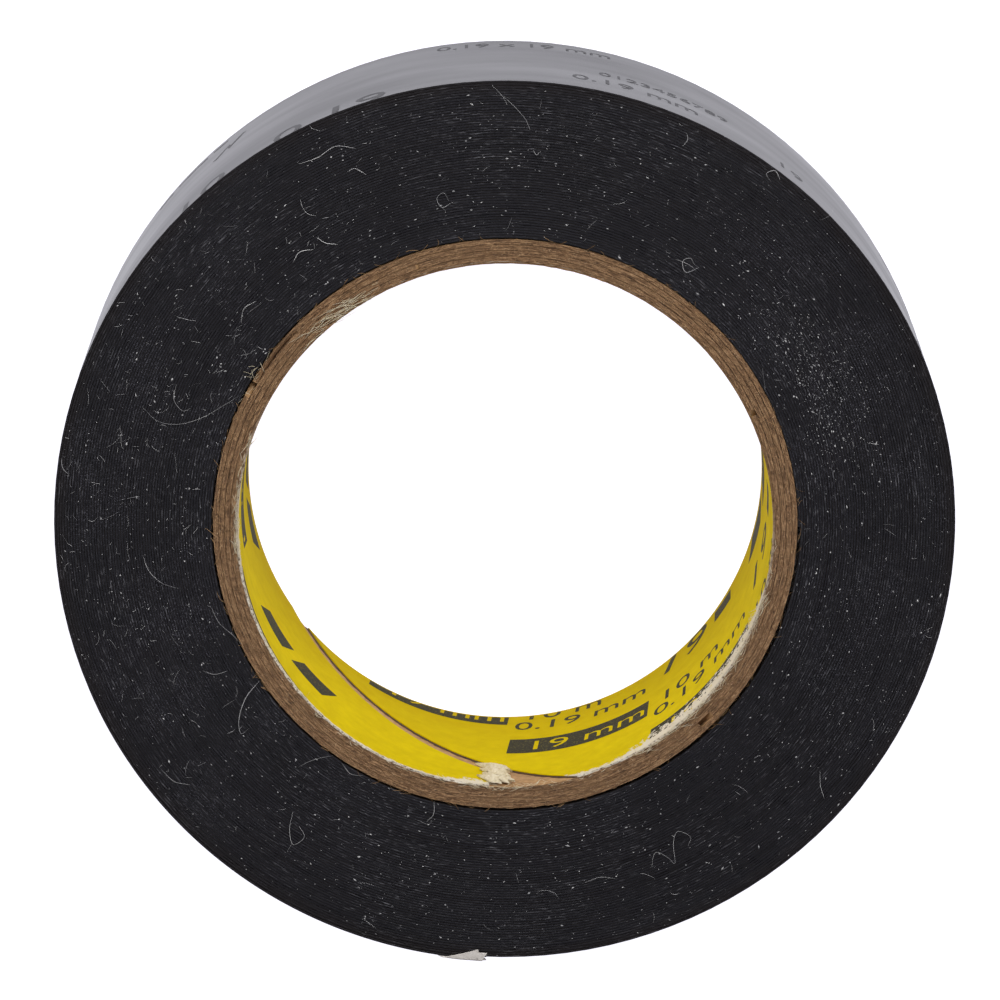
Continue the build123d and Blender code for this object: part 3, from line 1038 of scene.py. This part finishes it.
HAIRS = (
    # Each lies on the flat face, through these angles in degrees and radii in mm.
    ((52.4, 31.6), (53.6, 31.9), (54.3, 31.4), (53.2, 31.1)),
    ((65.9, 31.1), (65.4, 30.7), (65.6, 30.1)),
    ((54.0, 23.2), (55.4, 22.4), (57.0, 22.9), (56.2, 23.4), (55.0, 23.2)),
    ((90.4, 31.0), (88.9, 30.3), (87.3, 29.4), (86.5, 28.6)),
    ((85.9, 27.2), (85.3, 26.9), (84.8, 27.2)),
    ((111.0, 29.2), (113.5, 29.9), (116.3, 29.7), (119.0, 29.9)),
    ((111.0, 27.2), (112.2, 27.9), (113.5, 27.9)),
    ((99.2, 23.7), (100.9, 23.5), (101.5, 24.2), (100.2, 24.5), (99.6, 23.9)),
    ((120.0, 23.6), (121.6, 24.1), (122.4, 24.8)),
    ((124.0, 24.2), (126.0, 24.6), (128.0, 24.3)),
    ((137.0, 24.0), (139.3, 24.3), (141.6, 23.8)),
    ((161.2, 27.2), (162.6, 25.8), (162.0, 24.3), (159.6, 22.9), (156.0, 21.8), (153.0, 21.1)),
    ((156.0, 25.5), (158.5, 25.2), (159.7, 24.4), (158.8, 23.9)),
    ((171.0, 31.9), (172.2, 31.7), (173.0, 31.2)),
    ((184.6, 25.9), (187.2, 25.6), (189.5, 24.8), (191.0, 23.7)),
    ((195.5, 21.8), (199.0, 21.6), (202.2, 21.0), (204.7, 20.7)),
    ((206.0, 24.1), (207.5, 23.4), (208.0, 22.5)),
    ((212.7, 20.9), (214.0, 22.4), (216.4, 23.7), (218.7, 24.3), (218.9, 23.6)),
    ((216.0, 30.5), (218.2, 30.3), (220.0, 29.6)),
    ((234.0, 26.0), (235.2, 27.2), (236.9, 28.0), (237.7, 27.1), (236.0, 26.6)),
    ((230.0, 23.1), (231.2, 22.0), (233.7, 20.9)),
    ((236.0, 21.0), (238.6, 21.3), (241.0, 21.0)),
    ((255.4, 22.5), (256.3, 21.8), (255.8, 20.9)),
    ((292.7, 27.3), (294.2, 26.4), (295.6, 27.1), (296.2, 27.7),
     (297.4, 26.3), (298.9, 25.7), (300.2, 26.5), (299.2, 27.0)),
    ((282.0, 27.0), (284.5, 26.8), (287.0, 27.2)),
    ((318.8, 30.5), (319.9, 29.6), (321.7, 28.8)),
)


def lint():
    """Hairs and short fibres that cling to the sticky face of the roll."""
    rng = random.Random(11)
    paths = []
    radii = []
    for hair in HAIRS:
        flat = [(r * mm * math.cos(math.radians(a)), r * mm * math.sin(math.radians(a)), 0) for a, r in hair]
        path = smooth_path(flat, 0.12 * mm)
        along = np.linspace(0, 1, len(path))
        waves = 0.5 + 0.5 * np.sin(along * 9 + hair[0][0])
        path[:, 2] = width + 0.03 * mm + 0.10 * mm * np.sin(along * math.pi) * waves
        paths.append(path)
        radii.append(rng.uniform(0.014, 0.019) * mm)
    for _ in range(380):
        angle = rng.choice((rng.uniform(0, 360), rng.gauss(170, 28)))
        radius = rng.uniform(21.2, 31.6) * mm
        length = min(2.0, 0.2 + rng.expovariate(2.6)) * mm
        heading = rng.uniform(0, 360)
        paths.append(strand(rng, angle, radius, heading, length, width + 0.02 * mm, 0.9, 0.05 * mm))
        radii.append(rng.uniform(0.006, 0.010) * mm)
    place(tubes("lint", paths, radii, LINT, 3), "roll", "vinyl_film")


def dust():
    """Flakes of paper and plastic dust, most of them drawn out along the laps."""
    rng = random.Random(23)
    verts = []
    faces = []
    shape = ((1, 0, 0), (0, 1, 0), (-1, 0, 0), (0, -1, 0), (0, 0, 1), (0, 0, -1))
    sides = ((0, 1, 4), (1, 2, 4), (2, 3, 4), (3, 0, 4), (1, 0, 5), (2, 1, 5), (3, 2, 5), (0, 3, 5))
    for number in range(3200):
        if number % 5 == 0:
            angle = rng.gauss(27, 9)
            radius = rng.gauss(24.6, 1.2)
        else:
            angle = rng.uniform(0, 360)
            radius = rng.uniform(21.0, 31.75)
        if not 20.95 < radius < 31.75:
            continue
        size = min(0.075, 0.014 + rng.expovariate(65))
        long = size * rng.uniform(1.0, 2.8)
        turn = math.radians(angle + 90 + rng.gauss(0, 20))
        first = len(verts)
        for x, y, z in shape:
            x, y = x * long * rng.uniform(0.6, 1.1), y * size * rng.uniform(0.5, 1.1)
            verts.append((
                (radius * math.cos(math.radians(angle)) + x * math.cos(turn) - y * math.sin(turn)) * mm,
                (radius * math.sin(math.radians(angle)) + x * math.sin(turn) + y * math.cos(turn)) * mm,
                width + (0.02 + z * size * 0.6) * mm,
            ))
        faces += [tuple(first + k for k in side) for side in sides]
    place(new_piece("dust", verts, faces, [LINT], sharp_angle=180), "roll", "vinyl_film")


# ---------------------------------------------------------------- camera, light and floor
def camera():
    """A long lens above the roll, tipped a little towards the far side."""
    tilt = math.radians(12.87)
    distance = 420.6 * mm
    back = Vector((0, math.sin(tilt), math.cos(tilt)))
    up = Vector((0, math.cos(tilt), -math.sin(tilt)))
    data = bpy.data.cameras.new("camera")
    data.lens = 212.8
    data.sensor_width = 36
    data.clip_start = 0.01
    view = bpy.data.objects.new("camera", data)
    view.rotation_euler = Euler((-tilt, 0, 0))
    view.location = Vector((-0.38 * mm, 0, width)) + back * distance + up * 1.92 * mm
    bpy.context.scene.collection.objects.link(view)
    bpy.context.scene.camera = view


def softbox(name, place_at, size, power):
    """A square area light that faces the roll."""
    data = bpy.data.lights.new(name, "AREA")
    data.shape = "RECTANGLE"
    data.size, data.size_y = size
    data.energy = power
    lamp = bpy.data.objects.new(name, data)
    lamp.location = place_at
    lamp.rotation_euler = (Vector((0, 0, width / 2)) - Vector(place_at)).to_track_quat("-Z", "Y").to_euler()
    bpy.context.scene.collection.objects.link(lamp)


def studio():
    """A white bench that glows a little, as a light table does, under a dim sky and soft boxes."""
    scene = bpy.context.scene
    scene.view_settings.view_transform = "Standard"
    world = bpy.data.worlds.new("studio")
    world.use_nodes = True
    tree = world.node_tree
    direction = add(tree, "TexCoord", output="Generated")
    height = add(tree, "SeparateXYZ", direction, output="Z")
    above = add(tree, "MapRange", height, 0.0, 1.0)
    sky = add(tree, "ValToRGB", above, stops=[(0.0, "#f4f4f6"), (0.5, "#b9b9be"), (0.9, "#78787e")])
    tree.links.new(sky, tree.nodes["Background"].inputs["Color"])
    tree.nodes["Background"].inputs["Strength"].default_value = 0.22
    scene.world = world

    bench = new_piece("bench", [(-1, -1, 0), (1, -1, 0), (1, 1, 0), (-1, 1, 0)], [(0, 1, 2, 3)], [])
    bench.location.z = -0.05 * mm
    material, _, shader = new_material("white_light_table", 0.6)
    shader.inputs["Base Color"].default_value = linear("#8f8f8f")
    shader.inputs["Emission Color"].default_value = (1, 0.99, 1.09, 1)
    shader.inputs["Emission Strength"].default_value = 1.0
    bench.data.materials.append(material)

    softbox("far_softbox", (0.05, 0.42, 0.40), (0.5, 0.4), 2.8)
    softbox("left_softbox", (-0.45, 0.05, 0.30), (0.4, 0.3), 0.9)
    softbox("right_softbox", (0.45, 0.10, 0.25), (0.4, 0.3), 0.7)


wound_coil()
tail_pieces()
core()
liner_print()
film_marks()
starter_tab()
frayed_paper()
torn_flap()
lint()
dust()
camera()
studio()
